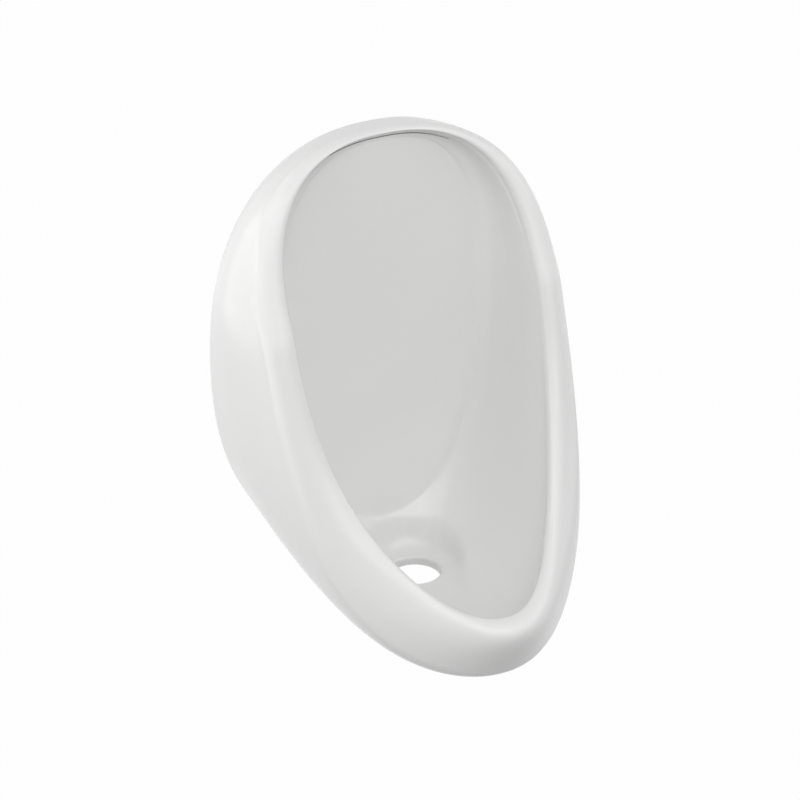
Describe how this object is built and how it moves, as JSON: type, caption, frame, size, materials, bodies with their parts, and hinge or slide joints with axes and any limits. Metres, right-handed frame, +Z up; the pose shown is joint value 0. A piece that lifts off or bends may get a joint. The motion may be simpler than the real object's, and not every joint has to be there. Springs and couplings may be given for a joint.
{
  "type": "wall hung urinal",
  "caption": "Small egg-shaped urinal bowl of white vitreous china with a rolled rim and a projecting lip, hung on steel wall hangers, with a concealed back inlet and a bottom outlet.",
  "frame": {"origin": "on the wall plane and the centreline, in the middle of the four hanger screws", "axes": "+Z up, +Y into the wall, +X to the right of someone who faces the bowl"},
  "size_m": [0.3572, 0.3497, 0.4907],
  "materials": {
    "china": "gloss",
    "zinc_steel": "satin",
    "screw_steel": "satin",
    "brass": "satin",
    "rubber": "matte"
  },
  "bodies": {
    "root": {"bowl": "china", "hanger_left": "zinc_steel", "washer_left_upper": "screw_steel", "screw_left_upper": "screw_steel", "washer_left_lower": "screw_steel", "screw_left_lower": "screw_steel", "hanger_right": "zinc_steel", "washer_right_upper": "screw_steel", "screw_right_upper": "screw_steel", "washer_right_lower": "screw_steel", "screw_right_lower": "screw_steel", "inlet_tail": "brass", "inlet_seal": "rubber"}
  },
  "joints": []
}
